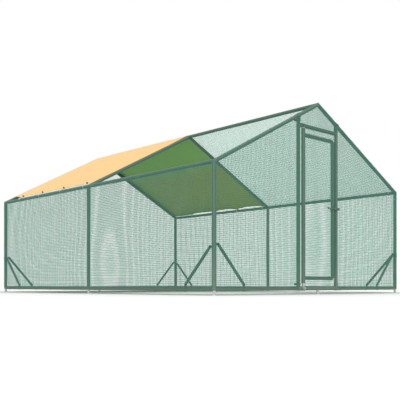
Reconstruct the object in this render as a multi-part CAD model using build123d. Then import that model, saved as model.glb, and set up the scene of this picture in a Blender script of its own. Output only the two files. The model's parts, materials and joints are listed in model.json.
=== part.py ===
from build123d import *
import math
import os

# Walk-in poultry cage: a bolted tube frame with a gable roof, wire net walls,
# a hinged door with a slide bolt, and a sheet cover tied over the back bay.
# X runs across the gable, Y from the door gable (-Y) to the back, Z up from the floor.

# Frame
frame_width = 3000.0  # outside to outside, across the gable
frame_length = 4000.0  # outside to outside, from gable to gable
eave_height = 1176.0  # floor to the centre of the eave rails
ridge_height = 1942.0  # floor to the centre of the ridge tube
tube_diameter = 38.0
tube_wall = 1.2

# Feet
foot_height = 36.0  # floor to the underside of the base rails
foot_diameter = 29.0

# Socket connectors, as thick as the tubes, with a spigot inside each tube end
socket_arm = 55.0  # joint centre to the tube end
spigot_length = 45.0
spigot_wall = 1.5
spigot_clearance = 0.1
hub_bulge = 1.0  # the ball at the joint centre stands this much proud of the arms
screw_inset = 22.0  # tube end to the screw
screw_diameter = 5.5
screw_length = 14.0
screw_head_diameter = 12.0
screw_head_height = 3.5

# Clearances
slip = 0.05  # radial, clamps and sleeves on tubes, pins in bushes
drill_clearance = 0.15  # radial, bolts and screws in their holes
face_gap = 0.05  # between flat pieces that a bolt pulls together
seat_gap = 0.3  # nets and cover on what carries them
running_gap = 0.5  # door faces that turn or slide past the frame

# Corner braces and the clamps that hold them
brace_diameter = 28.0
brace_wall = 1.2
brace_height = 428.0  # floor to the upper bolt of a side brace
brace_stagger = 22.0  # a gable brace is clamped this much higher
brace_run = 330.0  # upper bolt to lower bolt, along the wall
brace_post_gap = 13.0  # collar on the post to the flat end of the brace
brace_rail_gap = 1.5  # collar on the rail to the flat end of the brace
tab_thickness = 4.0
tab_width = 30.0
tab_length = 26.0  # bolt to where the flattened end starts to swell
flatten_length = 22.0
clamp_wall = 3.0
clamp_width = 20.0
ear_thickness = 4.0
bolt_diameter = 8.0
nut_diameter = 13.0
nut_height = 5.0
cap_diameter = 16.0
cap_height = 9.0

# Door surround
door_post_spacing = 628.0  # between the centres of the two door posts
header_height = 1689.0  # floor to the centre of the header
tee_wall = 3.0
tee_width = 50.0
tee_ear_reach = 40.0  # post centre to the ear's bolt
tee_ear_rise = 43.0  # rail centre to the ear's bolt
tee_end = 4.0  # from the ear to the end of the sleeve on the post

# Door
hinge_offset = 74.0  # left door post centre to the hinge stile centre
latch_offset = 64.0  # latch stile centre to the right door post centre
door_top = 1597.0  # floor to the centre of the top rail
door_bottom = 161.0  # floor to the centre of the bottom rail
door_bend_radius = 24.0
pin_diameter = 16.0
pin_engagement = 40.0
shoulder_diameter = 26.0
shoulder_height = 25.0
pivot_collar_width = 40.0
bush_length = 46.0
bush_flange = 3.0

# Slide bolt
latch_height = 891.0
rod_diameter = 10.0
rod_length = 160.0
knob_gap = 1.5  # front of the door's net to the knob of the rod
guide_width = 24.0
guide_height = 22.0
guide_wall = 3.0  # in front of the rod
keeper_width = 24.0
keeper_clearance = 0.4
keeper_gap = 2.0  # withdrawn rod to the keeper
knob_diameter = 18.0
handle_setback = 118.0  # rod tip to the handle
handle_diameter = 7.0
handle_drop = 30.0
handle_ball_diameter = 13.0

# Wire nets
net_thickness = 2.0
net_pitch = 140.0
net_strand = 4.0
net_border = 5.0
net_overlap = 10.0  # past the centre line of the tubes that carry the net
net_edge_clearance = 12.0  # from a door tube's centre line to the net beside it

# Sheet cover over the back bay
cover_thickness = 1.2
cover_end_gap = 4.0  # from the middle rafters to the front end of the cover
cover_eave_gap = 6.0  # from the eave rail up to the lower edge, at a tie
cover_shift = 12.0  # the cover hangs this much further down on the right
corner_lift = 140.0  # the left back corner stops this much short of the eave
scallop_depth = 30.0
tie_count = 4
tie_first = 70.0  # front end of the cover to the first tie
tie_spacing = 493.0
eyelet_inset = 22.0  # lower edge to the eyelet's centre
eyelet_bore = 14.0
eyelet_diameter = 26.0
eyelet_flange = 1.4
eyelet_wall = 1.0
tie_width = 5.0
tie_thickness = 1.4
tie_bend = 6.5  # inside radius of the tie at the eyelet

# Worked out from the sizes above
tube_radius = tube_diameter / 2
tube_bore_radius = tube_radius - tube_wall
spigot_radius = tube_bore_radius - spigot_clearance
hub_radius = tube_radius + hub_bulge
half_width = frame_width / 2 - tube_radius
half_length = frame_length / 2 - tube_radius
base_height = foot_height + tube_radius
rise = ridge_height - eave_height
slope_length = math.hypot(half_width, rise)
slope_cos = half_width / slope_length
slope_sin = rise / slope_length
collar_bore = tube_radius + slip
clamp_radius = collar_bore + clamp_wall
tee_radius = collar_bore + tee_wall
net_stand_off = tube_radius + slip + max(clamp_wall, tee_wall) + seat_gap
door_net_stand_off = tube_radius + seat_gap
post_x = door_post_spacing / 2
hinge_x = hinge_offset - post_x
latch_x = post_x - latch_offset
brace_post_offset = clamp_radius + tab_width / 2 + brace_post_gap
brace_rail_offset = clamp_radius + tab_width / 2 + brace_rail_gap
tee_stem = tee_ear_rise + clamp_width / 2 + tee_end
tee_bolt_gap = ear_thickness + face_gap
shoulder_top = base_height + clamp_radius + shoulder_height
stile_bottom = shoulder_top + running_gap + bush_flange
stile_top = header_height - clamp_radius - running_gap - bush_flange
rod_y = -half_length - door_net_stand_off - net_thickness - knob_gap - knob_diameter / 2
guide_front = rod_y - rod_diameter / 2 - guide_wall
keeper_left = post_x - keeper_width / 2 - keeper_gap
rod_tip = keeper_left - keeper_gap
cover_lift = hub_radius + seat_gap
cover_front = tube_radius + cover_end_gap
cover_back = half_length + tube_radius
cover_flank = slope_length - tube_radius - cover_eave_gap
tie_places = [cover_front + tie_first + index * tie_spacing for index in range(tie_count)]

SIDES = (("left", -1), ("right", 1))
ENDS = (("front", -1), ("back", 1))
ROWS = (("front", -1), ("middle", 0), ("back", 1))
BAYS = (("front", -1, 0), ("back", 0, 1))
UP = (0, 0, 1)
DOWN = (0, 0, -1)


def shift(point, direction, distance):
    """The point at a distance from another, along a direction."""
    return Vector(*point) + Vector(*direction) * distance


def rod(start, end, radius):
    """A round bar from one point to another."""
    run = Vector(*end) - Vector(*start)
    bar = Cylinder(radius, run.length, align=(Align.CENTER, Align.CENTER, Align.MIN))
    return Plane(origin=start, z_dir=run) * bar


def pipe(start, end, diameter, wall):
    """A round tube from one point to another."""
    radius = diameter / 2
    return rod(start, end, radius) - rod(start, end, radius - wall)


def inward(sign, axis):
    """The direction from a wall to the middle of the cage."""
    return (-sign, 0, 0) if axis == "x" else (0, -sign, 0)


def up_slope(sign):
    """The direction of a rafter from its eave to the ridge."""
    return (-sign * slope_cos, 0, slope_sin)


def down_slope(sign):
    """The direction of a rafter from the ridge to its eave."""
    return (sign * slope_cos, 0, -slope_sin)


def screw_hole(joint, direction, inside):
    """The hole for the screw that holds a tube end on its spigot."""
    place = shift(joint, direction, socket_arm + screw_inset)
    return rod(place, shift(place, inside, tube_diameter), screw_diameter / 2 + drill_clearance)


def screw(joint, direction, inside):
    """A pan-head screw on the inner side of a tube end."""
    place = shift(joint, direction, socket_arm + screw_inset)
    seat = shift(place, inside, tube_radius + face_gap)
    head = rod(seat, shift(seat, inside, screw_head_height), screw_head_diameter / 2)
    outer_rim = head.edges().sort_by(lambda edge: (edge.center() - place).dot(Vector(*inside)))[-1]
    head = fillet(outer_rim, screw_head_height * 0.6)
    tip = shift(seat, inside, -screw_length)
    shank = rod(tip, shift(seat, inside, screw_head_height / 2), screw_diameter / 2)
    return head + shank


def frame_tube(start, end, inside):
    """A frame tube between two joints, cut back to its sockets and drilled."""
    direction = (Vector(*end) - Vector(*start)).normalized()
    first = shift(start, direction, socket_arm)
    last = shift(end, direction, -socket_arm)
    tube = pipe(first, last, tube_diameter, tube_wall)
    tube -= screw_hole(start, direction, inside)
    tube -= screw_hole(end, -direction, inside)
    return tube


def socket(joint, arms):
    """A hollow connector with one arm and one spigot for each tube that meets it."""
    core_radius = spigot_radius - spigot_wall
    body = Pos(*joint) * Sphere(hub_radius)
    core = Pos(*joint) * Sphere(core_radius + hub_bulge)
    for direction, inside in arms:
        shoulder = shift(joint, direction, socket_arm)
        tip = shift(shoulder, direction, spigot_length)
        body += rod(joint, shoulder, tube_radius)
        body += rod(joint, tip, spigot_radius)
        core += rod(joint, shift(tip, direction, spigot_wall), core_radius)
    body -= core
    for direction, inside in arms:
        body -= screw_hole(joint, direction, inside)
    return body


def foot(joint, arms):
    """A plain stub whose top is hollowed to seat under its connector."""
    x, y, z = joint
    stub = rod((x, y, 0), joint, foot_diameter / 2)
    stub -= Pos(*joint) * Sphere(hub_radius + slip)
    for direction, inside in arms:
        stub -= rod(joint, shift(joint, direction, socket_arm), collar_bore)
    return stub


def brace(upper, lower, inside):
    """A tube whose two ends are pressed flat and drilled for a bolt."""
    run = lower - upper
    local = Plane(origin=upper, x_dir=inside, z_dir=run)
    swell = tab_length + flatten_length
    body = pipe((0, 0, swell), (0, 0, run.length - swell), brace_diameter, brace_wall)
    for place, sign in ((0, 1), (run.length, -1)):
        tab = Pos(0, 0, place + sign * tab_length / 2) * Box(tab_thickness, tab_width, tab_length)
        tab += rod((-tab_thickness / 2, 0, place), (tab_thickness / 2, 0, place), tab_width / 2)
        flat = Pos(0, 0, place + sign * tab_length) * Ellipse(tab_thickness / 2, tab_width / 2)
        full = Pos(0, 0, place + sign * swell) * Circle(brace_diameter / 2)
        body += tab + loft([flat, full])
        body -= rod((-tab_width, 0, place), (tab_width, 0, place), bolt_diameter / 2 + drill_clearance)
    return local * body


def ear(reach, thickness, width, offset):
    """A drilled lug, along local X, that stands out of a collar."""
    plate = Pos(reach / 2, offset, 0) * Box(reach, thickness, width)
    tip = rod((reach, offset - thickness / 2, 0), (reach, offset + thickness / 2, 0), width / 2)
    hole = rod((reach, offset - width, 0), (reach, offset + width, 0), bolt_diameter / 2 + drill_clearance)
    return plate + tip - hole


def clamp(center, axis, toward, inside, reach):
    """A collar round a tube with a lug for the flat end of a brace."""
    local = Plane(origin=center, x_dir=toward, z_dir=axis)
    sign = 1 if local.y_dir.dot(Vector(*inside)) > 0 else -1
    offset = sign * (tab_thickness / 2 + face_gap + ear_thickness / 2)
    body = Cylinder(clamp_radius, clamp_width) + ear(reach, ear_thickness, clamp_width, offset)
    body -= Cylinder(collar_bore, clamp_width * 2)
    return local * body


def capped_screw(center, outward, back, front):
    """A shank with a domed cap, its length measured from a point along a direction."""
    cap = rod((0, 0, front), (0, 0, front + cap_height), cap_diameter / 2)
    cap = fillet(cap.edges().sort_by(Axis.Z)[-1], cap_height * 0.6)
    shank = rod((0, 0, back), (0, 0, front + cap_height / 2), bolt_diameter / 2)
    return Plane(origin=center, z_dir=outward) * (cap + shank)


def capped_bolt(center, outward, back, front):
    """A bolt through a lug: nut behind, domed cap in front, centred on a point."""
    nut = Pos(0, 0, back - nut_height) * extrude(RegularPolygon(nut_diameter / 2, 6), nut_height)
    bolt = capped_screw(center, outward, back - nut_height, front)
    return bolt + Plane(origin=center, z_dir=outward) * nut


def rafter_height(x):
    """Height of a rafter's centre line above the floor."""
    return ridge_height - abs(x) * rise / half_width


def tee_ear_height(base, up):
    """Height of the bolt through a tee sleeve's ear."""
    return base + up * tee_ear_rise


def has_ear(x):
    """The left post's sleeves have a bolted ear, the right post's a screw in the rail's bore."""
    return x < 0


def tee_fixing(x, base, up):
    """The capped bolt or screw of a tee sleeve."""
    if has_ear(x):
        point = (x, tee_ear_reach - half_length, tee_ear_height(base, up))
        return capped_bolt(point, (-1, 0, 0), -tee_bolt_gap, tee_bolt_gap)
    return capped_screw((x, -half_length, base), (0, up, 0), collar_bore + face_gap, tee_radius + face_gap)


def tee_post_end(slope):
    """Distance from the rail's centre line to the square end of the door post."""
    return tee_radius * math.hypot(1, slope) + tube_radius * abs(slope) + running_gap


def tee_sleeve(x, base, rail, up, slope):
    """A tee-shaped sleeve: one bore round a rail, one round the end of a door post."""
    joint = (x, -half_length, base)
    axis = (0, 0, up)
    half_rail = Vector(*rail) * (tee_width / 2)
    stem_end = shift(joint, axis, tee_stem)
    body = rod(Vector(*joint) - half_rail, Vector(*joint) + half_rail, tee_radius)
    body += rod(joint, stem_end, tee_radius)
    if has_ear(x):
        lug = Plane(origin=(x, -half_length, tee_ear_height(base, up)), x_dir=(0, 1, 0), z_dir=UP)
        body += lug * ear(tee_ear_reach, ear_thickness * 2, clamp_width, 0)
    else:
        body -= rod(joint, shift(joint, (0, up, 0), tube_diameter), bolt_diameter / 2 + drill_clearance)
    body -= rod(Vector(*joint) - half_rail * 2, Vector(*joint) + half_rail * 2, collar_bore)
    seat = shift(joint, axis, tee_post_end(slope) - face_gap)
    body -= rod(seat, shift(stem_end, axis, tee_wall), collar_bore)
    return body


def door_post(x):
    """An upright beside the doorway, from the base rail to the rafter."""
    bottom = (x, -half_length, base_height + tee_post_end(0))
    top = (x, -half_length, rafter_height(x) - tee_post_end(rise / half_width))
    return pipe(bottom, top, tube_diameter, tube_wall)


def door_header():
    """The bar over the doorway, its ends coped to the two posts."""
    y = -half_length
    bar = pipe((-post_x, y, header_height), (post_x, y, header_height), tube_diameter, tube_wall)
    for x in (-post_x, post_x):
        bar -= rod((x, y, 0), (x, y, ridge_height), collar_bore)
    return bar


def pivot_collar(height):
    """A collar round the header or the base rail, on the hinge line."""
    half = pivot_collar_width / 2
    start = (hinge_x - half, -half_length, height)
    end = (hinge_x + half, -half_length, height)
    return rod(start, end, clamp_radius) - rod(start, end, collar_bore)


def hinge_pin_lower():
    """The shouldered pin on the base rail that carries the door."""
    x, y, z = hinge_x, -half_length, base_height
    bore = rod((x - tube_diameter, y, z), (x + tube_diameter, y, z), collar_bore)
    pin = rod((x, y, z), (x, y, shoulder_top), shoulder_diameter / 2)
    pin += rod((x, y, z), (x, y, stile_bottom + pin_engagement), pin_diameter / 2)
    return pivot_collar(z) + (pin - bore)


def hinge_pin_upper():
    """The plain pin under the header that steadies the door."""
    x, y, z = hinge_x, -half_length, header_height
    bore = rod((x - tube_diameter, y, z), (x + tube_diameter, y, z), collar_bore)
    pin = rod((x, y, stile_top - pin_engagement), (x, y, z), pin_diameter / 2)
    return pivot_collar(z) + (pin - bore)


def hinge_bush(end, up):
    """A flanged plug in one end of the hinge stile, bored for the pin."""
    x, y = hinge_x, -half_length
    flange = rod((x, y, end - up * bush_flange), (x, y, end), tube_radius)
    plug = rod((x, y, end), (x, y, end + up * bush_length), spigot_radius)
    bore = rod((x, y, end - up * bush_length), (x, y, end + up * bush_length * 2), pin_diameter / 2 + slip)
    return flange + plug - bore


def door_bow():
    """The bent tube that makes the top rail, latch stile and bottom rail of the door."""
    y = -half_length
    top = [(hinge_x, y, door_top), (latch_x, y, door_top)]
    bottom = [(latch_x, y, door_bottom), (hinge_x, y, door_bottom)]
    path = FilletPolyline(*top, *bottom, radius=door_bend_radius)
    ring = Circle(tube_radius) - Circle(tube_bore_radius)
    bow = sweep(Plane(origin=top[0], z_dir=(1, 0, 0)) * ring, path=path)
    return bow - rod((hinge_x, y, 0), (hinge_x, y, ridge_height), collar_bore)


def bolt_block(tube_x, left, width, bore_radius):
    """A clamped block on an upright, bored for the slide bolt."""
    center = (tube_x, -half_length, latch_height)
    upright = Pos(*center) * Cylinder(clamp_radius, guide_height)
    block_depth = -half_length - guide_front
    block = Box(width, block_depth, guide_height, align=(Align.MIN, Align.MIN, Align.CENTER))
    body = upright + Pos(left, guide_front, latch_height) * block
    body -= Pos(*center) * Cylinder(collar_bore, guide_height * 2)
    body -= rod((left - width, rod_y, latch_height), (left + width * 2, rod_y, latch_height), bore_radius)
    return body


def latch_rod():
    """The sliding rod with a handle that hangs from it."""
    tail = rod_tip - rod_length
    grip = (rod_tip - handle_setback, rod_y, latch_height)
    body = rod((tail, rod_y, latch_height), (rod_tip, rod_y, latch_height), rod_diameter / 2)
    return body + rod(grip, shift(grip, DOWN, handle_drop), handle_diameter / 2)


def latch_knobs():
    """The ball on the tail of the rod and the ball on the handle."""
    rod_end = (rod_tip - rod_length, rod_y, latch_height)
    handle_end = (rod_tip - handle_setback, rod_y, latch_height - handle_drop)
    tail_ball = Pos(*rod_end) * Sphere(knob_diameter / 2)
    tail_ball -= rod(rod_end, shift(rod_end, (1, 0, 0), knob_diameter), rod_diameter / 2 + slip)
    handle_ball = Pos(*handle_end) * Sphere(handle_ball_diameter / 2)
    handle_ball -= rod(handle_end, shift(handle_end, UP, handle_ball_diameter), handle_diameter / 2 + slip)
    return [tail_ball, handle_ball]


def net(outline, plane):
    """A flat wire net: one sheet with a grid of square gaps, on a plane."""
    sheet = make_face(Polyline(*outline, close=True))
    inner = offset(sheet, -net_border)
    span = sheet.bounding_box()
    columns = math.ceil(span.size.X / net_pitch)
    rows = math.ceil(span.size.Y / net_pitch)
    gap = net_pitch - net_strand
    grid = Pos(span.center().X, span.center().Y) * GridLocations(net_pitch, net_pitch, columns, rows)
    gaps = (Sketch() + [place * Rectangle(gap, gap) for place in grid]) & inner
    holes = [face for face in gaps.faces() if face.area > (gap / 4) ** 2]
    return extrude(plane * (sheet - holes), net_thickness)


def wall_plane(sign, axis, stand_off):
    """The plane on the outside of a wall: local X along the wall, local Y up."""
    if axis == "x":
        return Plane(origin=(sign * (half_width + stand_off), 0, 0), x_dir=(0, sign, 0), z_dir=(sign, 0, 0))
    return Plane(origin=(0, sign * (half_length + stand_off), 0), x_dir=(-sign, 0, 0), z_dir=(0, sign, 0))


def side_net(sign):
    """The net of one long wall, from the base rail to the eave."""
    reach = half_length + net_overlap
    bottom = base_height - net_overlap
    top = eave_height + net_overlap
    outline = [(-reach, bottom), (reach, bottom), (reach, top), (-reach, top)]
    return net(outline, wall_plane(sign, "x", net_stand_off))


def back_net():
    """The net of the back gable."""
    reach = half_width + net_overlap
    bottom = base_height - net_overlap
    wall = [(-reach, bottom), (reach, bottom)]
    gable = [(reach, eave_height), (0, ridge_height), (-reach, eave_height)]
    return net([*wall, *gable], wall_plane(1, "y", net_stand_off))


def front_net(sign):
    """The net between a front corner and the doorway, under the rafter."""
    reach = sign * (half_width + net_overlap)
    edge = sign * (post_x + net_edge_clearance)
    bottom = base_height - net_overlap
    outline = [(edge, bottom), (reach, bottom), (reach, eave_height), (edge, rafter_height(edge))]
    return net(outline, wall_plane(-1, "y", net_stand_off))


def transom_net():
    """The net over the doorway, between the header and the two rafters."""
    edge = post_x - net_edge_clearance
    top = rafter_height(edge)
    outline = [(-edge, header_height), (edge, header_height), (edge, top), (0, ridge_height), (-edge, top)]
    return net(outline, wall_plane(-1, "y", net_stand_off))


def door_net():
    """The net on the door, from the hinge stile to the latch stile."""
    left = hinge_x - net_overlap
    right = latch_x - net_edge_clearance
    bottom = door_bottom - net_overlap
    top = door_top + net_overlap
    outline = [(left, bottom), (right, bottom), (right, top), (left, top)]
    return net(outline, wall_plane(-1, "y", door_net_stand_off))


def roof_net():
    """The net on the right roof slope of the front bay."""
    plane = Plane(
        origin=shift((0, 0, ridge_height), (slope_sin, 0, slope_cos), net_stand_off),
        x_dir=down_slope(1),
        z_dir=(slope_sin, 0, slope_cos),
    )
    top = tube_radius
    bottom = slope_length - net_overlap
    front = -half_length - net_overlap
    back = net_overlap
    outline = [(top, front), (bottom, front), (bottom, back), (top, back)]
    return net(outline, plane)


def slope_point(sign, run, lift):
    """The point on a roof slope at a distance from the ridge and above the rafter line."""
    across = run * slope_cos + lift * slope_sin
    height = ridge_height - run * slope_sin + lift * slope_cos
    return (sign * across, 0, height)


def cover_edge(sign):
    """Distance from the ridge to the cover's lower edge at a tie."""
    return cover_flank + sign * cover_shift


def cover_profile(lift):
    """The line of the cover over the ridge, seen from the gable."""
    left = Line(slope_point(-1, cover_edge(-1), lift), slope_point(-1, 0, lift))
    crown = ThreePointArc(slope_point(-1, 0, lift), (0, 0, ridge_height + lift), slope_point(1, 0, lift))
    right = Line(slope_point(1, 0, lift), slope_point(1, cover_edge(1), lift))
    return [left, crown, right]


def scallop(sign, start, end):
    """The curved bite between two ties that the cut takes out of the lower edge."""
    edge = cover_edge(sign) * slope_cos + cover_lift * slope_sin
    radius = (((end - start) / 2) ** 2 + scallop_depth**2) / (2 * scallop_depth)
    center = sign * (edge - scallop_depth + radius)
    middle = (start + end) / 2
    return rod((center, middle, 0), (center, middle, ridge_height + tube_diameter), radius)


def corner_wedge():
    """The wedge that the left back corner of the cover lacks."""
    edge = slope_point(-1, cover_edge(-1), cover_lift)[0]
    start = tie_places[-1] + eyelet_diameter
    back = cover_back + tube_diameter
    lift = corner_lift * slope_cos * (back - start) / (cover_back - start)
    outline = [(edge, start), (edge + lift, back), (edge - tube_diameter, back), (edge - tube_diameter, start)]
    return extrude(make_face(Polyline(*outline, close=True)), ridge_height)


def roof_cover():
    """The sheet over the back bay: bent over the ridge, scalloped and holed along the eaves."""
    under = cover_profile(cover_lift)
    over = cover_profile(cover_lift + cover_thickness)
    ends = [Line(under[0] @ 0, over[0] @ 0), Line(under[2] @ 1, over[2] @ 1)]
    section = make_face([*under, *over, *ends])
    sheet = Pos(0, cover_front, 0) * extrude(section, cover_back - cover_front, dir=(0, 1, 0))
    for side, sign in SIDES:
        for start, end in zip(tie_places, tie_places[1:]):
            sheet -= scallop(sign, start, end)
        for y in tie_places:
            eyelet_run = cover_edge(sign) - eyelet_inset
            low = slope_point(sign, eyelet_run, 0)
            high = slope_point(sign, eyelet_run, cover_lift * 2)
            sheet -= Pos(0, y, 0) * rod(low, high, eyelet_bore / 2 + eyelet_wall + drill_clearance)
    return sheet - corner_wedge()


def eyelet(sign, y):
    """A ring through the cover, rolled over on both faces."""
    center = slope_point(sign, cover_edge(sign) - eyelet_inset, cover_lift + cover_thickness / 2)
    local = Plane(origin=center, z_dir=(sign * slope_sin, 0, slope_cos))
    grip = cover_thickness / 2 + face_gap
    body = Cylinder(eyelet_bore / 2 + eyelet_wall, (grip + eyelet_flange) * 2)
    for side in (-1, 1):
        body += Pos(0, 0, side * (grip + eyelet_flange / 2)) * Cylinder(eyelet_diameter / 2, eyelet_flange)
    body -= Cylinder(eyelet_bore / 2, cover_lift * 2)
    return Pos(0, y, 0) * (local * body)


def tie_loop(sign, grow):
    """The outline of a tie round the eave rail and through an eyelet, grown by a thickness."""
    bend_run = cover_edge(sign) - eyelet_inset + tie_bend + tie_thickness / 2
    bend = slope_point(sign, bend_run, cover_lift + cover_thickness / 2)
    rail = (sign * half_width, 0, eave_height)
    flat = Plane(origin=(0, 0, 0), x_dir=(1, 0, 0), z_dir=(0, -1, 0))
    small = Pos(bend[0], bend[2]) * Circle(tie_bend + grow)
    large = Pos(rail[0], rail[2]) * Circle(collar_bore + grow)
    return flat * make_hull(small.edges() + large.edges())


def cover_tie(sign, y):
    """A flat plastic tie from an eyelet to the eave rail."""
    band = tie_loop(sign, tie_thickness) - tie_loop(sign, 0)
    return Pos(0, y + tie_width / 2, 0) * extrude(band, tie_width, dir=(0, -1, 0))


def save(name, solids):
    """Write one node: a single solid, or a group of like solids."""
    pieces = solids if isinstance(solids, list) else [solids]
    shape = Compound(label=name, children=[piece.solid() for piece in pieces])
    export_step(shape if len(pieces) > 1 else pieces[0].solid(), f"parts/{name}.step")


def frame_joints():
    """Every tube of the frame by name, as its two joints and its inner direction."""
    tubes = {}
    for side, sx in SIDES:
        x = sx * half_width
        for row, sy in ROWS:
            y = sy * half_length
            kind = "corner_post" if sy else "side_post"
            foot_end, eave, ridge = (x, y, base_height), (x, y, eave_height), (0, y, ridge_height)
            tubes[f"{kind}_{row}_{side}"] = (foot_end, eave, inward(sx, "x"))
            tubes[f"rafter_{row}_{side}"] = (eave, ridge, inward(sy or -1, "y"))
        for bay, start, end in BAYS:
            y0, y1 = start * half_length, end * half_length
            tubes[f"base_rail_{side}_{bay}"] = ((x, y0, base_height), (x, y1, base_height), inward(sx, "x"))
            tubes[f"eave_rail_{side}_{bay}"] = ((x, y0, eave_height), (x, y1, eave_height), inward(sx, "x"))
        for end, sy in ENDS:
            y = sy * half_length
            tubes[f"base_rail_{end}_{side}"] = ((x, y, base_height), (0, y, base_height), inward(sy, "y"))
    for bay, start, end in BAYS:
        y0, y1 = start * half_length, end * half_length
        tubes[f"ridge_tube_{bay}"] = ((0, y0, ridge_height), (0, y1, ridge_height), DOWN)
    return tubes


def socket_groups(tubes):
    """The connectors by group name, each as its joint and the arms that leave it."""
    arms_at = {}
    for start, end, inside in tubes.values():
        direction = (Vector(*end) - Vector(*start)).normalized()
        arms_at.setdefault(start, []).append((direction, inside))
        arms_at.setdefault(end, []).append((-direction, inside))
    groups = {}
    for joint, arms in arms_at.items():
        x, y, z = joint
        level = {base_height: "base", eave_height: "eave", ridge_height: "ridge"}[z]
        if level == "base":
            level += "_coupler" if not x else "_corner" if y else "_tee"
        groups.setdefault(f"{level}_connectors", []).append((joint, arms))
    return groups


def brace_places():
    """Each corner brace as its two bolt points, its wall's inner direction and its run."""
    places = []
    lower_z = base_height + brace_rail_offset
    for side, sx in SIDES:
        for end, sy in ENDS:
            corner = (sx * half_width, sy * half_length)
            along_side = (0, inward(sy, "y"), inward(sx, "x"))
            along_gable = (brace_stagger, inward(sx, "x"), inward(sy, "y"))
            for stagger, run, inside in (along_side, along_gable):
                upper_z = brace_height + stagger
                upper = shift((*corner, upper_z), run, brace_post_offset)
                lower = shift((*corner, lower_z), run, brace_post_offset + brace_run)
                places.append((upper, lower, inside, run))
    return places


os.makedirs("parts", exist_ok=True)

# Tubes, connectors and feet
tubes = frame_joints()
groups = socket_groups(tubes)
screws = []
for name, (start, end, inside) in tubes.items():
    direction = (Vector(*end) - Vector(*start)).normalized()
    save(name, frame_tube(start, end, inside))
    screws += [screw(start, direction, inside), screw(end, -direction, inside)]
feet = []
for name, places in groups.items():
    save(name, [socket(joint, arms) for joint, arms in places])
    if name.startswith("base"):
        feet += [foot(joint, arms) for joint, arms in places]
save("frame_screws", screws)
save("feet", feet)

# Corner braces
braces = []
brace_clamps = []
clamp_bolts = []
bolt_back = -tab_thickness / 2 - face_gap
bolt_front = tab_thickness / 2 + ear_thickness + face_gap * 2
for upper, lower, inside, run in brace_places():
    post_point = shift(upper, run, -brace_post_offset)
    rail_point = shift(lower, UP, -brace_rail_offset)
    braces.append(brace(upper, lower, inside))
    brace_clamps.append(clamp(post_point, UP, run, inside, brace_post_offset))
    brace_clamps.append(clamp(rail_point, run, UP, inside, brace_rail_offset))
    clamp_bolts += [capped_bolt(point, inside, bolt_back, bolt_front) for point in (upper, lower)]
save("corner_braces", braces)
save("brace_clamps", brace_clamps)

# Door surround
tees = []
for side, sx in SIDES:
    x = sx * post_x
    slope = rise / half_width
    save(f"door_post_{side}", door_post(x))
    tees.append(tee_sleeve(x, base_height, (1, 0, 0), 1, 0))
    tees.append(tee_sleeve(x, rafter_height(x), up_slope(sx), -1, slope))
    clamp_bolts += [tee_fixing(x, base_height, 1), tee_fixing(x, rafter_height(x), -1)]
save("door_post_tees", tees)
save("clamp_bolts", clamp_bolts)
save("door_header", door_header())
save("hinge_pin_lower", hinge_pin_lower())
save("hinge_pin_upper", hinge_pin_upper())

# Door
stile_ends = [(hinge_x, -half_length, stile_bottom), (hinge_x, -half_length, stile_top)]
save("door_hinge_stile", pipe(*stile_ends, tube_diameter, tube_wall))
save("door_bow", door_bow())
save("hinge_bushes", [hinge_bush(stile_bottom, 1), hinge_bush(stile_top, -1)])
save("door_net", door_net())

# Slide bolt
save("latch_guide", bolt_block(latch_x, latch_x - guide_width / 4, guide_width, rod_diameter / 2 + slip))
save("latch_keeper", bolt_block(post_x, keeper_left, keeper_width, rod_diameter / 2 + keeper_clearance))
save("latch_rod", latch_rod())
save("latch_knobs", latch_knobs())

# Wire nets
for side, sx in SIDES:
    save(f"net_side_{side}", side_net(sx))
    save(f"net_front_{side}", front_net(sx))
save("net_back", back_net())
save("net_transom", transom_net())
save("net_roof_right", roof_net())

# Cover
tie_spots = [(sign, y) for side, sign in SIDES for y in tie_places]
save("roof_cover", roof_cover())
save("cover_eyelets", [eyelet(sign, y) for sign, y in tie_spots])
save("cover_ties", [cover_tie(sign, y) for sign, y in tie_spots])
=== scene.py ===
import json
import math

import bmesh
import bpy
from mathutils import Matrix, Vector


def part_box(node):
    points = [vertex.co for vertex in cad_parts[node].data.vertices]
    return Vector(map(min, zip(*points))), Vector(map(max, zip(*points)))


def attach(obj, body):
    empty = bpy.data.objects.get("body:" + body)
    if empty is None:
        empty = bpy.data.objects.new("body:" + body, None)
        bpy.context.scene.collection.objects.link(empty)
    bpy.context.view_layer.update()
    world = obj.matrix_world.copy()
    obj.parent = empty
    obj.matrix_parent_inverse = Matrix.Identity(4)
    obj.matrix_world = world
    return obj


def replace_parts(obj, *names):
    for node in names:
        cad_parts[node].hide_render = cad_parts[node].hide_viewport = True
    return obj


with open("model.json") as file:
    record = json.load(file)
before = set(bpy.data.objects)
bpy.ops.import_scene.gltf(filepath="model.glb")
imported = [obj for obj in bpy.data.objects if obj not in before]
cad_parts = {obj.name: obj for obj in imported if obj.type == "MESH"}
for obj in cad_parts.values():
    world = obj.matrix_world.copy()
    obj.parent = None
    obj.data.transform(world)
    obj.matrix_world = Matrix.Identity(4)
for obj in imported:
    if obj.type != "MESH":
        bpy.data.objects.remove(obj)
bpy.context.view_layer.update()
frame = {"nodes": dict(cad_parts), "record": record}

# Tube frame. Round steel tube, cut to length, pushed on socket connectors and screwed on the
# inner side. All of it is powder coated in one grey-green batch, a little duller near the
# ground where dust settles.


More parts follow.
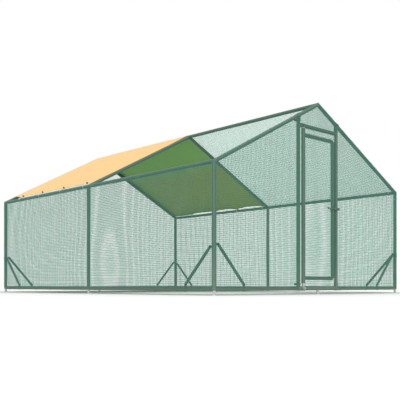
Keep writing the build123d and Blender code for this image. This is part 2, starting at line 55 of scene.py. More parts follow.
class Field:
    """An output in a node tree. Arithmetic on it adds Math nodes to that tree."""

    def __init__(self, tree, socket=None):
        self.tree = tree
        self.socket = socket

    def node(self, kind, settings=None, inputs=None, output=0):
        made = self.tree.nodes.new(kind)
        for name, value in (settings or {}).items():
            setattr(made, name, value)
        for key, value in (inputs or {}).items():
            if isinstance(value, Field):
                self.tree.links.new(value.socket, made.inputs[key])
            else:
                made.inputs[key].default_value = value
        return Field(self.tree, made.outputs[output] if made.outputs else None)

    def other(self, output):
        """Another output of the node that this one comes from."""
        return Field(self.tree, self.socket.node.outputs[output])

    def math(self, operation, first, second=0.0):
        return self.node("ShaderNodeMath", {"operation": operation}, {0: first, 1: second})

    def __add__(self, value):
        return self.math("ADD", self, value)

    def __sub__(self, value):
        return self.math("SUBTRACT", self, value)

    def __rsub__(self, value):
        return self.math("SUBTRACT", value, self)

    def __mul__(self, value):
        return self.math("MULTIPLY", self, value)

    def __truediv__(self, value):
        return self.math("DIVIDE", self, value)

    def __rtruediv__(self, value):
        return self.math("DIVIDE", value, self)

    __radd__ = __add__
    __rmul__ = __mul__

    def ramp(self, low, high):
        """0 below low, 1 above high, straight between."""
        inputs = {"Value": self, "From Min": low, "From Max": high}
        return self.node("ShaderNodeMapRange", {"clamp": True}, inputs)

    def blend(self, first, second):
        """A colour between two, by this value."""
        factor, colour_a, colour_b, mixed = 0, 6, 7, 2
        inputs = {factor: self, colour_a: first, colour_b: second}
        return self.node("ShaderNodeMix", {"data_type": "RGBA"}, inputs, mixed)

    def into(self, shader, name):
        self.tree.links.new(self.socket, shader.inputs[name])


def new_finish(name):
    """A fresh material with its shader and a field to start its nodes from."""
    material = bpy.data.materials.new(name)
    material.use_nodes = True
    shader = material.node_tree.nodes["Principled BSDF"]
    return material, shader, Field(material.node_tree)


def grain(start, where, scale, detail=2.0):
    """Noise over the object, with a number of spots to a metre."""
    inputs = {"Vector": where, "Scale": scale, "Detail": detail}
    return start.node("ShaderNodeTexNoise", {}, inputs)


def relief(start, height, depth, strength):
    """The surface normal for a height map, in metres."""
    inputs = {"Height": height, "Distance": depth, "Strength": strength}
    return start.node("ShaderNodeBump", {}, inputs)


def tint(colour, share):
    """A colour made darker or lighter."""
    return (*(min(1.0, part * share) for part in colour[:3]), 1.0)


def powder_coat(name, colour, dust_height):
    """Powder coat: batch shading, orange peel, and dust low down."""
    material, shader, start = new_finish(name)
    place = start.node("ShaderNodeTexCoord", output="Object")
    height = start.node("ShaderNodeSeparateXYZ", {}, {"Vector": place}, output="Z")
    broad = grain(start, place, 2.5)
    fine = grain(start, place, 420.0)
    coat = broad.ramp(0.3, 0.7).blend(tint(colour, 0.93), tint(colour, 1.07))
    coat = fine.ramp(0.35, 0.75).blend(coat, tint(colour, 1.12))
    dust_grey, most_dust = (0.36, 0.36, 0.30, 1.0), 0.35
    dust = (1.0 - height.ramp(0.0, dust_height)) * fine.ramp(0.3, 0.6) * most_dust
    dust.blend(coat, dust_grey).into(shader, "Base Color")
    (broad * 0.12 + dust * 0.4 + 0.42).into(shader, "Roughness")
    relief(start, fine, 0.0004, 0.25).into(shader, "Normal")
    shader.inputs["Specular IOR Level"].default_value = 0.3
    return material


def dress(material, *names):
    """A finish for nodes that keep their own shape."""
    for name in names:
        mesh = frame["nodes"][name].data
        mesh.materials.clear()
        mesh.materials.append(material)


slot_of = {part["node"]: part["material_slot"] for part in frame["record"]["subparts"]}
coat_green = (0.079, 0.158, 0.118, 1.0)
frame_paint = powder_coat("frame_paint", coat_green, dust_height=0.35)
dress(frame_paint, *(name for name, slot in slot_of.items() if slot == "frame_paint"))

# Screws and feet. Zinc-plated pan-head screws hold the tube ends, and short grey plastic stubs
# under the base joints keep the rails off wet ground.


def bare_zinc(name, colour, spangle):
    """Zinc: crystal patches that differ in tone and gloss."""
    material, shader, start = new_finish(name)
    place = start.node("ShaderNodeTexCoord", output="Object")
    crystals = {"Vector": place, "Scale": spangle}
    patch = start.node("ShaderNodeTexVoronoi", {}, crystals, "Color")
    tone = start.node("ShaderNodeSeparateColor", {}, {"Color": patch})
    smear = grain(start, place, spangle * 3)
    shade = tone * 0.6 + smear * 0.4
    shade.blend(tint(colour, 0.82), tint(colour, 1.12)).into(shader, "Base Color")
    (shade * 0.22 + 0.28).into(shader, "Roughness")
    relief(start, smear, 0.0003, 0.2).into(shader, "Normal")
    shader.inputs["Metallic"].default_value = 0.85
    return material


def moulded(name, colour, roughness):
    """Moulded plastic: fine spark-eroded grain and slight scuffing."""
    material, shader, start = new_finish(name)
    place = start.node("ShaderNodeTexCoord", output="Object")
    fine = grain(start, place, 1500.0)
    scuff = grain(start, place, 60.0, 4.0).ramp(0.5, 0.75)
    scuff.blend(tint(colour, 0.95), tint(colour, 1.25)).into(shader, "Base Color")
    (scuff * 0.15 + roughness).into(shader, "Roughness")
    relief(start, fine, 0.0002, 0.3).into(shader, "Normal")
    return material


dress(bare_zinc("screw_zinc", (0.55, 0.57, 0.57), spangle=150.0), "frame_screws")
dress(moulded("foot_plastic", (0.50, 0.52, 0.51), roughness=0.6), "feet")

# Corner braces. Thin tube, pressed flat and drilled at both ends, bolted to lugs on collars.
# The bolts have black plastic caps over their heads.
black_cap = moulded("black_cap", (0.022, 0.024, 0.024), roughness=0.45)
dress(black_cap, "clamp_bolts", "latch_knobs")

# Door fittings. The lower hinge pin is galvanised steel, left bare, and the door turns on two
# white nylon plugs in the ends of its hinge stile.
dress(bare_zinc("galvanised", (0.42, 0.47, 0.44), spangle=90.0), "hinge_pin_lower")
dress(moulded("bush_nylon", (0.78, 0.78, 0.74), roughness=0.5), "hinge_bushes")

# Wire nets. Welded square mesh of coated wire, slightly wavy, cut to the openings and laid on the
# outside of the tubes: upright wires within, cross wires over them, one wire round the edge. The
# coat carries painted light and shade: the wires' inward faces are a bright mint, painted light
# for the light they lack, and their outward faces a duller grey-green. Strips close the gaps at
# the door.
net_pitch = 0.0175
net_slack = 0.028
wire_diameter = 0.0029
edge_diameter = 0.0030
wire_sides = 6
net_inset = 0.006


def coated_wire(name, inner, outer):
    """Plastic-coated wire, a little uneven in tone, with painted light and shade: a bright colour
    on the inward faces and a darker one on the outward faces.
    """
    material, shader, start = new_finish(name)
    place = start.node("ShaderNodeTexCoord", output="Object")
    broad = grain(start, place, 6.0)
    uneven = broad.ramp(0.3, 0.7)
    # Painted light and shade: the way a wire face points picks its colour, bright inward and
    # darker outward.
    side = start.node("ShaderNodeAttribute", {"attribute_name": "outer"}, output="Fac")
    outward_share = side.ramp(-0.6, 0.0)

    def coat(share):
        return outward_share.blend(tint(inner, share), tint(outer, share))

    uneven.blend(coat(0.9), coat(1.1)).into(shader, "Base Color")
    (broad * 0.2 + 0.4).into(shader, "Roughness")
    shader.inputs["Specular IOR Level"].default_value = 0.12
    return material


def add_inputs(tree, sockets):
    """Named inputs of a tree, and each one's identifier."""
    made = {}
    for name, kind in sockets:
        made[name] = tree.interface.new_socket(name, in_out="INPUT", socket_type=kind).identifier
    tree.interface.new_socket("Geometry", in_out="OUTPUT", socket_type="NodeSocketGeometry")
    return made


def vector(start, x=0.0, y=0.0, z=0.0):
    return start.node("ShaderNodeCombineXYZ", {}, {"X": x, "Y": y, "Z": z})


def end_tree(start, geometry, material):
    """The last steps of every tree: real mesh, smooth, with its finish."""
    geometry = start.node("GeometryNodeRealizeInstances", {}, {"Geometry": geometry})
    geometry = start.node("GeometryNodeSetShadeSmooth", {}, {"Geometry": geometry})
    inputs = {"Geometry": geometry, "Material": material}
    geometry = start.node("GeometryNodeSetMaterial", {}, inputs)
    start.node("NodeGroupOutput", {}, {"Geometry": geometry})


def wire(start, curve, diameter):
    """A curve made round."""
    inputs = {"Resolution": wire_sides, "Radius": diameter * 0.5}
    ring = start.node("GeometryNodeCurvePrimitiveCircle", {}, inputs)
    inputs = {"Curve": curve, "Profile Curve": ring, "Fill Caps": True}
    return start.node("GeometryNodeCurveToMesh", {}, inputs)


def strands(start, walls, low, span, pitch, slack, across, level):
    """Parallel wires from edge to edge of an outline in the XY plane, as slightly wavy curves."""
    margin, far_away = 0.05, 20.0
    bend_length, bends_per_metre, cross_layer = 0.2, 0.9, 5.0
    side, run = ("y", "x") if across else ("x", "y")
    low_x, low_y = low.other("X"), low.other("Y")
    span_x, span_y = span.other("X"), span.other("Y")
    width = span_y if across else span_x
    count = start.math("FLOOR", width / pitch)
    first = (width - (count - 1.0) * pitch) * 0.5
    if across:
        begin = vector(start, low_x - margin, low_y + first, level)
    else:
        begin = vector(start, low_x + first, low_y - margin, level)
    step = vector(start, **{side: pitch})
    inputs = {"Count": count, "Start Location": begin, "Offset": step}
    row = start.node("GeometryNodeMeshLine", {"mode": "OFFSET"}, inputs)
    loose = {"domain": "EDGE", "mode": "EDGE_FACE"}
    row = start.node("GeometryNodeDeleteGeometry", loose, {"Geometry": row})
    spot = start.node("GeometryNodeInputPosition")
    ahead = (1.0, 0.0, 0.0) if across else (0.0, 1.0, 0.0)
    behind = tuple(-part for part in ahead)
    ray = {"Target Geometry": walls, "Ray Length": far_away}
    entry = start.node("GeometryNodeRaycast", {}, {**ray, "Ray Direction": ahead}, "Hit Position")
    hit = entry.other("Is Hit")
    missed = start.node("FunctionNodeBooleanMath", {"operation": "NOT"}, {0: hit})
    row = start.node("GeometryNodeDeleteGeometry", {}, {"Geometry": row, "Selection": missed})
    row = start.node("GeometryNodeSetPosition", {}, {"Geometry": row, "Position": entry})
    reach = vector(start, **{run: far_away})
    far = start.node("ShaderNodeVectorMath", {"operation": "ADD"}, {0: spot, 1: reach})
    back = {"Source Position": far, "Ray Direction": behind}
    leave = start.node("GeometryNodeRaycast", {}, {**ray, **back}, "Hit Position")
    length = start.node("ShaderNodeVectorMath", {"operation": "SUBTRACT"}, {0: leave, 1: spot})
    inputs = {"Mesh": row, "Offset": length}
    row = start.node("GeometryNodeExtrudeMesh", {"mode": "VERTICES"}, inputs)
    curve = start.node("GeometryNodeMeshToCurve", {}, {"Mesh": row})
    inputs = {"Curve": curve, "Length": bend_length}
    curve = start.node("GeometryNodeResampleCurve", {"mode": "LENGTH"}, inputs)
    layer = {0: spot, 1: (0.0, 0.0, cross_layer if across else 0.0)}
    layer = start.node("ShaderNodeVectorMath", {"operation": "ADD"}, layer)
    sway = (grain(start, layer, bends_per_metre, 0.0) - 0.5) * slack
    inputs = {"Geometry": curve, "Offset": vector(start, **{side: sway})}
    return start.node("GeometryNodeSetPosition", {}, inputs)


def net_tree():
    """Welded mesh that fills a flat outline, with its edge wire."""
    tree = bpy.data.node_groups.new("welded_net", "GeometryNodeTree")
    sockets = [
        ("Geometry", "NodeSocketGeometry"),
        ("Pitch", "NodeSocketFloat"),
        ("Slack", "NodeSocketFloat"),
        ("Wire diameter", "NodeSocketFloat"),
        ("Edge diameter", "NodeSocketFloat"),
        ("Coat", "NodeSocketMaterial"),
    ]
    keys = add_inputs(tree, sockets)
    given = Field(tree).node("NodeGroupInput")
    outline, pitch, slack = given.other("Geometry"), given.other("Pitch"), given.other("Slack")
    thick, edge = given.other("Wire diameter"), given.other("Edge diameter")
    wall_height = 0.02
    rise = {"Mesh": outline, "Offset": (0.0, 0.0, wall_height)}
    walls = given.node("GeometryNodeExtrudeMesh", {"mode": "EDGES"}, rise)
    drop = {"Geometry": walls, "Translation": (0.0, 0.0, -wall_height / 2)}
    walls = given.node("GeometryNodeTransform", {}, drop)
    low = given.node("GeometryNodeBoundBox", {}, {"Geometry": outline}, "Min")
    size = {0: low.other("Max"), 1: low}
    size = given.node("ShaderNodeVectorMath", {"operation": "SUBTRACT"}, size)
    low = given.node("ShaderNodeSeparateXYZ", {}, {"Vector": low})
    span = given.node("ShaderNodeSeparateXYZ", {}, {"Vector": size})
    upright = strands(given, walls, low, span, pitch, slack, False, thick * 0.5)
    cross = strands(given, walls, low, span, pitch, slack, True, thick * 0.9)
    rim = given.node("GeometryNodeMeshToCurve", {}, {"Mesh": outline})
    lift = {"Geometry": rim, "Translation": vector(given, z=edge * 0.5)}
    rim = given.node("GeometryNodeTransform", {}, lift)
    joined = given.node("GeometryNodeJoinGeometry")
    for curve, size in ((upright, thick), (cross, thick), (rim, edge)):
        made = wire(given, curve, size)
        tree.links.new(made.socket, joined.socket.node.inputs[0])
    normal = given.node("GeometryNodeInputNormal")
    facing = given.node("ShaderNodeSeparateXYZ", {}, {"Vector": normal}, "Z")
    settings = {"data_type": "FLOAT", "domain": "POINT"}
    inputs = {"Geometry": joined, "Name": "outer", "Value": facing}
    marked = given.node("GeometryNodeStoreNamedAttribute", settings, inputs)
    end_tree(given, marked, given.other("Coat"))
    return tree, keys


def grow(name, mesh, tree, keys, values, place=Matrix.Identity(4)):
    """Runs a tree on a mesh and keeps the result as a plain piece."""
    piece = bpy.data.objects.new(name, mesh)
    bpy.context.scene.collection.objects.link(piece)
    modifier = piece.modifiers.new(name, "NODES")
    modifier.node_group = tree
    for key, value in values.items():
        modifier[keys[key]] = value
    bpy.context.view_layer.update()
    done = piece.evaluated_get(bpy.context.evaluated_depsgraph_get())
    result = bpy.data.meshes.new_from_object(done)
    piece.modifiers.remove(modifier)
    piece.data = result
    bpy.data.meshes.remove(mesh)
    result.transform(place)
    result.name = name
    return piece


def flat_mesh(name, corners):
    """A flat outline in the XY plane, with one face."""
    mesh = bpy.data.meshes.new(name)
    points = [(x, y, 0.0) for x, y in corners]
    mesh.from_pydata(points, [], [tuple(range(len(points)))])
    return mesh


def wall_place(origin, along, up):
    """The place of a flat outline: X along the wall, Y up it, Z out of it."""
    along, up = Vector(along).normalized(), Vector(up).normalized()
    out = along.cross(up)
    turn = Matrix((along, up, out)).transposed().to_4x4()
    return Matrix.Translation(origin) @ turn


# Painted light and shade for the nets: the mint is painted light on the inward faces, the
# grey-green is the duller outward faces.
outward_green = (0.098, 0.255, 0.205)
painted_light_green = (0.035, 0.720, 0.430)
net_coat = coated_wire("net_coat", painted_light_green, outward_green)
welded_net, net_keys = net_tree()
net_values = {
    "Pitch": net_pitch,
    "Slack": net_slack,
    "Wire diameter": wire_diameter,
    "Edge diameter": edge_diameter,
    "Coat": net_coat,
}
eave, ridge, base = 1.176, 1.942, 0.055
half_width, half_length = 1.481, 1.981
roof_slope = (ridge - eave) / half_width
rafter_drop = net_inset * math.hypot(1, roof_slope)
upward = (0, 0, 1)


def hang_net(name, body, corners, place):
    """A wire net on a body."""
    outline = flat_mesh(name, corners)
    piece = grow(name, outline, welded_net, net_keys, net_values, place)
    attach(piece, body)
    return piece


def lay_net(node, body, corners, place):
    """A wire net in place of a node's holed sheet."""
    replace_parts(hang_net(node + "_wire", body, corners, place), node)


def box_corners(low_u, high_u, low_v, high_v):
    return [(low_u, low_v), (high_u, low_v), (high_u, high_v), (low_u, high_v)]


def under_rafter(x):
    """The height of a gable net's edge below the rafter."""
    return ridge - abs(x) * roof_slope - rafter_drop


def gable_corners(low_x, high_x, foot):
    """An outline below both rafters."""
    shoulder = under_rafter(high_x)
    feet = [(low_x, foot), (high_x, foot)]
    return feet + [(high_x, shoulder), (0, under_rafter(0)), (low_x, shoulder)]


wall_end, wall_edge = half_length - net_inset, half_width - net_inset
net_foot = base + net_inset
side = box_corners(-wall_end, wall_end, net_foot, eave - net_inset)
left = wall_place((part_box("net_side_left")[1].x, 0, 0), (0, -1, 0), upward)
right = wall_place((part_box("net_side_right")[0].x, 0, 0), (0, 1, 0), upward)
back = wall_place((0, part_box("net_back")[0].y, 0), (-1, 0, 0), upward)
front = wall_place((0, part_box("net_transom")[1].y, 0), (1, 0, 0), upward)
lay_net("net_side_left", "frame", side, left)
lay_net("net_side_right", "frame", side, right)
lay_net("net_back", "frame", gable_corners(-wall_edge, wall_edge, net_foot), back)
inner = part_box("net_front_right")[0].x
beside = [(inner, net_foot), (wall_edge, net_foot)]
beside += [(wall_edge, under_rafter(wall_edge)), (inner, under_rafter(inner))]
lay_net("net_front_right", "frame", beside, front)
lay_net("net_front_left", "frame", [(-x, z) for x, z in reversed(beside)], front)
low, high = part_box("net_transom")
lay_net("net_transom", "frame", gable_corners(low.x, high.x, low.z + net_inset), front)

hinge_line, latch_line = -0.240, 0.250
door_bottom, door_top = 0.161, 1.597
gap_bottom, gap_top = 0.082, 1.660
leaf = wall_place((0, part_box("door_net")[1].y, 0), (1, 0, 0), upward)
low_x, high_x = hinge_line + net_inset, latch_line - net_inset
light = box_corners(low_x, high_x, door_bottom + net_inset, door_top - net_inset)
sill = box_corners(low_x, high_x, gap_bottom, door_bottom - net_inset)
head = box_corners(low_x, high_x, door_top + net_inset, gap_top)
lay_net("door_net", "door", light, leaf)
hang_net("door_net_sill", "door", sill, leaf)
hang_net("door_net_head", "door", head, leaf)

sheet_thickness = 0.002
low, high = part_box("net_roof_right")
down = Vector((half_width, 0, eave - ridge)).normalized()
slope_out = Vector((-down.z, 0, down.x))
crest = Vector((low.x, 0, high.z)) - slope_out * sheet_thickness
slope_run = (Vector((high.x, 0, low.z)) - crest).dot(down)
slope = wall_place(crest, down, (0, 1, 0))
lay_net("net_roof_right", "frame", box_corners(0, slope_run, -wall_end, -net_inset), slope)

# Net clips. Rings of soft wire, about three to a metre, closed round the tube and the outer wires
# of the net that lies on it. The door carries its own.
clip_spacing = 0.33
clip_radius = 0.0236
clip_offset = 0.0038
clip_wire = 0.0016
ring_sides = 20


def clip_tree():
    """Wire rings along the edges of a mesh."""
    tree = bpy.data.node_groups.new("net_clips", "GeometryNodeTree")
    sockets = [
        ("Geometry", "NodeSocketGeometry"),
        ("Spacing", "NodeSocketFloat"),
        ("Radius", "NodeSocketFloat"),
        ("Wire diameter", "NodeSocketFloat"),
        ("Coat", "NodeSocketMaterial"),
    ]
    keys = add_inputs(tree, sockets)
    given = Field(tree).node("NodeGroupInput")
    lines = given.node("GeometryNodeMeshToCurve", {}, {"Mesh": given.other("Geometry")})
    inputs = {"Curve": lines, "Length": given.other("Spacing")}
    spots = given.node("GeometryNodeCurveToPoints", {"mode": "LENGTH"}, inputs)
    inputs = {"Resolution": ring_sides, "Radius": given.other("Radius")}
    ring = given.node("GeometryNodeCurvePrimitiveCircle", {}, inputs)
    ring = wire(given, ring, given.other("Wire diameter"))
    inputs = {"Points": spots, "Instance": ring, "Rotation": spots.other("Rotation")}
    rings = given.node("GeometryNodeInstanceOnPoints", {}, inputs)
    end_tree(given, rings, given.other("Coat"))
    return tree, keys


def clip_nets(name, body, runs):
    """Rings along runs of tube, each moved towards the net: start, end and the net's side."""
    points = []
    for start, end, side in runs:
        move = Vector(side) * clip_offset
        points += [Vector(start) + move, Vector(end) + move]
    mesh = bpy.data.meshes.new(name)
    mesh.from_pydata(points, [(index, index + 1) for index in range(0, len(points), 2)], [])
    piece = grow(name, mesh, clips, clip_keys, clip_values)
    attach(piece, body)


clip_coat = coated_wire("clip_coat", outward_green, outward_green)
clip_values = {
    "Spacing": clip_spacing,
    "Radius": clip_radius,
    "Wire diameter": clip_wire,
    "Coat": clip_coat,
}
clips, clip_keys = clip_tree()
bay_from, bay_to = 0.14, 1.85
post_from, post_to = 0.16, 1.10
gable_from, gable_to = 1.34, 0.38
rafter_from, rafter_to = 0.14, 1.54
door_post, door_post_from, door_post_to = 0.314, 0.30, 1.55
runs = []
for sign in (-1, 1):
    x = sign * half_width
    for y in (-half_length, 0.0):
        for z in (base, eave):
            runs.append(((x, y + bay_from, z), (x, y + bay_to, z), (sign, 0, 0)))
    for y in (-half_length, 0.0, half_length):
        runs.append(((x, y, post_from), (x, y, post_to), (sign, 0, 0)))
    for y, end in ((-half_length, -1), (half_length, 1)):
        runs.append(((sign * gable_from, y, base), (sign * gable_to, y, base), (0, end, 0)))
        along = Vector((-sign * half_width, 0, ridge - eave)).normalized()
        foot = Vector((x, y, eave))
        runs.append((foot + along * rafter_from, foot + along * rafter_to, (0, end, 0)))
    x, y = -sign * door_post, -half_length
    runs.append(((x, y, door_post_from), (x, y, door_post_to), (0, -1, 0)))
slope_from, slope_to = 0.25, 1.50
roof_eave_from, roof_eave_to = 0.30 - half_length, -0.14
for y in (-half_length, 0.0):
    top = Vector((0, y, ridge))
    runs.append((top + down * slope_from, top + down * slope_to, slope_out))
x, z = half_width, eave
runs.append(((x, roof_eave_from, z), (x, roof_eave_to, z), slope_out))
clip_nets("frame_clips", "frame", runs)

stile_from, stile_to = 0.33, 1.48
rail_from, rail_to = hinge_line + 0.08, latch_line - 0.07
y = -half_length
runs = []
for x in (hinge_line, latch_line):
    runs.append(((x, y, stile_from), (x, y, stile_to), (0, -1, 0)))
for z in (door_bottom, door_top):
    runs.append(((rail_from, y, z), (rail_to, y, z), (0, -1, 0)))
clip_nets("door_clips", "door", runs)

# Cover. A coated woven sheet over the back bay, pale orange on top and green below, the green
# turning olive towards the eaves as painted shade, with a hem round its edge and rolled brass
# eyelets along the eaves, pulled down by white plastic ties. Each tie has a black ball on it that
# stops at the eyelet.
cover_thickness = 0.0012
dress(bare_zinc("eyelet_brass", (0.10, 0.075, 0.045), spangle=200.0), "cover_eyelets")
dress(moulded("tie_plastic", (0.84, 0.84, 0.82), roughness=0.45), "cover_ties")


def sheet_finish(name, crest_colour, shaded_eave_colour):
    """Coated woven tape: a square weave under a smooth film, folded and stitched at the hem, with
    painted shade that turns the crest colour into the eave colour towards the eaves.
    """
    tape_width, hem_width, seam_line, soft = 0.0028, 0.028, 0.023, 0.002
    crest_end, eave_start = 0.40, 0.80
    material, shader, start = new_finish(name)
    place = start.node("ShaderNodeUVMap", {"uv_map": "cut"})
    spread = start.node("ShaderNodeSeparateXYZ", {}, {"Vector": place})
    tape = 2 * math.pi / tape_width
    weft = start.math("SINE", spread.other("X") * tape)
    warp = start.math("SINE", spread.other("Y") * tape)
    weave = weft * warp * 0.5 + 0.5
    broad = grain(start, place, 3.0, 3.0)
    edge = start.node("ShaderNodeAttribute", {"attribute_name": "edge"}, output="Fac")
    hem = 1.0 - edge.ramp(hem_width, hem_width + 0.003)
    seam = edge.ramp(seam_line - soft, seam_line)
    seam = seam * (1.0 - edge.ramp(seam_line, seam_line + soft))
    # Painted shade: the colour runs from the crest colour to the shaded eave colour down the
    # slopes.
    painted_eave_shade = start.math("ABSOLUTE", spread.other("X")).ramp(crest_end, eave_start)

    def film(share):
        return painted_eave_shade.blend(tint(crest_colour, share), tint(shaded_eave_colour, share))

    shade = broad.ramp(0.25, 0.75).blend(film(0.95), film(1.04))
    shade = (weave * 0.5).blend(shade, film(0.93))
    (hem * 0.5 + seam * 0.5).blend(shade, film(0.84)).into(shader, "Base Color")
    (broad * 0.2 + weave * 0.08 + 0.40).into(shader, "Roughness")
    relief(start, weave * 0.2 + hem - seam * 0.7, 0.0012, 0.5).into(shader, "Normal")
    shader.inputs["Specular IOR Level"].default_value = 0.3
    return material


first_tie, tie_spacing = 0.093, 0.493
ties = [first_tie + tie_spacing * index for index in range(4)]


def cover_sag(y, run, reach, sign):
    """How far the sheet stands off its plane: a slack middle, and puckers beside the ties."""
    slack, ripple, pucker = 0.010, 0.0018, 0.0022
    pucker_length, pucker_width, pucker_reach = 0.11, 0.10, 0.22
    held_end, held_length = 1.95, 0.5
    waves_along, waves_down = 21, 9
    near = math.exp(-((reach - run) / pucker_reach) ** 2)
    pull = 0.0
    for tie in ties:
        fade = math.exp(-((y - tie) / pucker_width) ** 2)
        pull += (1 - math.cos(2 * math.pi * (y - tie) / pucker_length)) * fade
    free = min(1.0, max(0.0, (held_end - y) / held_length)) * math.sin(math.pi * run / reach)
    wave = math.sin(y * waves_along + run * waves_down + sign)
    return -slack * free + pucker * near * pull + ripple * wave * free


tube_radius, tube_clearance, rail_gap = 0.019, 0.0203, 0.006
lift = tube_clearance + cover_thickness / 2
rafter = math.hypot(half_width, ridge - eave)
cosine = half_width / rafter
sine = math.sqrt(1 - cosine**2)
flank = rafter - tube_radius - rail_gap
lopside = 0.012


def over_slope(sign, y, run, stand):
    """A point that far down a slope from the ridge, and that far off the rafters' middle."""
    across = run * cosine + stand * sine
    return (sign * across, y, ridge - run * sine + stand * cosine)


def cover_mesh(name):
    """The sheet as a closed shell: a grid over the ridge, drawn in between the ties."""
    low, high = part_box("roof_cover")
    rows, columns, crest_columns = 130, 70, 3
    corner_start, corner_lift = ties[-1] + 0.026, 0.140
    scallop = 0.030
    depth = scallop / math.cos(math.atan(roof_slope))
    turn = math.acos(cosine)
    mesh = bmesh.new()
    layers = [[], []]
    cut = mesh.loops.layers.uv.new("cut")
    edge = mesh.verts.layers.float.new("edge")
    flat = {}
    for row in range(rows + 1):
        y = low.y + (high.y - low.y) * row / rows
        bite = 0.0
        for start, end in zip(ties, ties[1:]):
            if start < y < end:
                bite = depth * (1 - (2 * (y - start) / (end - start) - 1) ** 2)
        lines = [[], []]
        for column in range(-columns, columns + 1):
            sign = -1 if column < 0 else 1
            reach = flank + sign * lopside - bite
            if sign < 0 and y > corner_start:
                reach -= corner_lift * (y - corner_start) / (high.y - corner_start)
            run = reach * max(0.0, (abs(column) - crest_columns) / (columns - crest_columns))
            bend = turn * min(1.0, abs(column) / crest_columns)
            sag = cover_sag(y, run, reach, sign)
            for layer, side in enumerate((-1, 1)):
                stand = lift + sag + side * cover_thickness / 2
                point = over_slope(sign, y, run, stand)
                if abs(column) <= crest_columns:
                    across, height = stand * math.sin(bend), ridge + stand * math.cos(bend)
                    point = (sign * across, y, height)
                vertex = mesh.verts.new(point)
                flat[vertex] = (sign * (run + abs(bend) * lift), y)
                vertex[edge] = min(reach - run, y - low.y, high.y - y)
                lines[layer].append(vertex)
        for layer in (0, 1):
            layers[layer].append(lines[layer])

    def patch(corners, finish):
        face = mesh.faces.new(corners)
        face.material_index = finish
        face.smooth = True
        for loop in face.loops:
            loop[cut].uv = flat[loop.vert]

    under, over = layers
    for row in range(rows):
        for column in range(columns * 2):
            ahead = [(row, column), (row, column + 1), (row + 1, column + 1), (row + 1, column)]
            patch([over[r][c] for r, c in ahead], 0)
            patch([under[r][c] for r, c in reversed(ahead)], 1)
    width = columns * 2
    border = [(0, c) for c in range(width)] + [(r, width) for r in range(rows)]
    border += [(rows, c) for c in range(width, 0, -1)] + [(r, 0) for r in range(rows, 0, -1)]
    for (r0, c0), (r1, c1) in zip(border, border[1:] + border[:1]):
        patch([over[r1][c1], over[r0][c0], under[r0][c0], under[r1][c1]], 0)
    result = bpy.data.meshes.new(name)
    mesh.to_mesh(result)
    mesh.free()
    return result, flank * 2, high.y - low.y


cover_orange = (0.93, 0.60, 0.23)
# The olive is painted shade on the underside towards the eaves, not a colour of the sheet.
crest_green, painted_shade_olive = (0.235, 0.475, 0.150), (0.32, 0.365, 0.070)
cover_data, cover_width, cover_length = cover_mesh("cover_sheet")
cover_data.materials.append(sheet_finish("cover_top", cover_orange, cover_orange))
cover_data.materials.append(sheet_finish("cover_under", crest_green, painted_shade_olive))
cover = bpy.data.objects.new("cover_sheet", cover_data)
bpy.context.scene.collection.objects.link(cover)
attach(cover, "frame")
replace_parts(cover, "roof_cover")

ball_radius = 0.0095
ball_stand = 0.0085
ball_segments, ball_rings = 20, 12
eyelet_inset = 0.022


def ball_tree():
    """A ball at every point of a mesh."""
    tree = bpy.data.node_groups.new("tie_balls", "GeometryNodeTree")
    sockets = [
        ("Geometry", "NodeSocketGeometry"),
        ("Radius", "NodeSocketFloat"),
        ("Plastic", "NodeSocketMaterial"),
    ]
    keys = add_inputs(tree, sockets)
    given = Field(tree).node("NodeGroupInput")
    inputs = {"Segments": ball_segments, "Rings": ball_rings, "Radius": given.other("Radius")}
    ball = given.node("GeometryNodeMeshUVSphere", {}, inputs)
    inputs = {"Points": given.other("Geometry"), "Instance": ball}
    balls = given.node("GeometryNodeInstanceOnPoints", {}, inputs)
    end_tree(given, balls, given.other("Plastic"))
    return tree, keys


spots = []
for sign in (-1, 1):
    run = flank + sign * lopside - eyelet_inset
    spots += [over_slope(sign, y, run, lift + ball_stand) for y in ties]
ball_mesh = bpy.data.meshes.new("tie_balls")
ball_mesh.from_pydata(spots, [], [])
ball_set, ball_keys = ball_tree()
ball_values = {"Radius": ball_radius, "Plastic": black_cap}
balls = grow("tie_balls", ball_mesh, ball_set, ball_keys, ball_values)
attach(balls, "frame")

# Studio. A pale floor without an edge, two wide soft lamps, overhead and in front, and even white
# light around. Floor and surroundings are brighter to the eye than as sources of light, and to
# the eye the floor carries a painted shadow, grey where ambient occlusion finds the cage close
# above it.


def in_view(start):
    """1 for what the camera sees, straight, mirrored or through glass, else 0."""
    path = start.node("ShaderNodeLightPath")
    rays = path.other("Is Camera Ray") + path.other("Is Glossy Ray")
    return start.math("MINIMUM", rays + path.other("Is Transmission Ray"), 1.0)


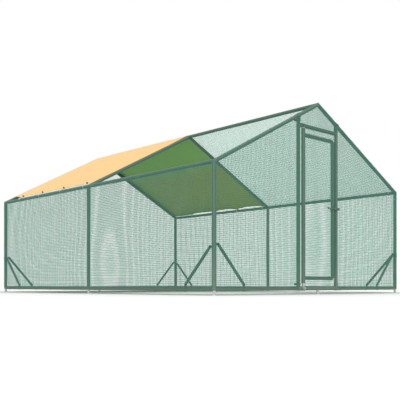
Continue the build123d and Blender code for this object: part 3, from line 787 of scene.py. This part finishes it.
floor_reach = 60
floor_mesh = flat_mesh("floor", box_corners(-floor_reach, floor_reach, -floor_reach, floor_reach))
floor = bpy.data.objects.new("floor", floor_mesh)
bpy.context.scene.collection.objects.link(floor)
floor_finish, floor_shader, floor_start = new_finish("floor_white")
# Painted shadow: ambient occlusion darkens the floor's colour under and near the cage, for what
# the camera sees.
occlusion = {"Distance": 2.0}
open_sky = floor_start.node("ShaderNodeAmbientOcclusion", {"samples": 8}, occlusion, "AO")
shade_grey, open_white = (0.25, 0.25, 0.25, 1.0), (1.06, 1.06, 1.06, 1.0)
bounce_white = (0.97, 0.97, 0.97, 1.0)
painted_shadow_floor = open_sky.ramp(0.48, 0.88).blend(shade_grey, open_white)
in_view(floor_start).blend(bounce_white, painted_shadow_floor).into(floor_shader, "Base Color")
floor_shader.inputs["Roughness"].default_value = 1.0
floor_shader.inputs["Specular IOR Level"].default_value = 0.0
floor_mesh.materials.append(floor_finish)

lamps = [
    ("top_lamp", 1.1, 60, (0.25, 0.30, -0.92)),
    ("front_lamp", 1.2, 50, (0.66, 0.73, -0.20)),
]
for name, power, spread, aim in lamps:
    lamp = bpy.data.objects.new(name, bpy.data.lights.new(name, "SUN"))
    lamp.data.energy = power
    lamp.data.angle = math.radians(spread)
    lamp.rotation_euler = Vector(aim).to_track_quat("-Z", "Y").to_euler()
    bpy.context.scene.collection.objects.link(lamp)

world = bpy.data.worlds.new("studio")
world.use_nodes = True
bpy.context.scene.world = world
background = world.node_tree.nodes["Background"]
source_strength = 0.55
seen_more = in_view(Field(world.node_tree)) * (1.0 - source_strength)
(seen_more + source_strength).into(background, "Strength")
background.inputs["Color"].default_value = (1.0, 1.0, 1.0, 1.0)

camera = bpy.data.objects.new("camera", bpy.data.cameras.new("camera"))
camera.data.lens = 59.25
camera.data.sensor_width = 36.0
camera.data.shift_x = 0.0179
camera.data.shift_y = 0.2125
camera.data.clip_end = 200.0
camera.location = (-5.4909, -6.1299, 0.0907)
camera.rotation_euler = (math.radians(90), 0, math.radians(-42.179))
bpy.context.scene.collection.objects.link(camera)
bpy.context.scene.camera = camera
bpy.context.scene.view_settings.view_transform = "Standard"
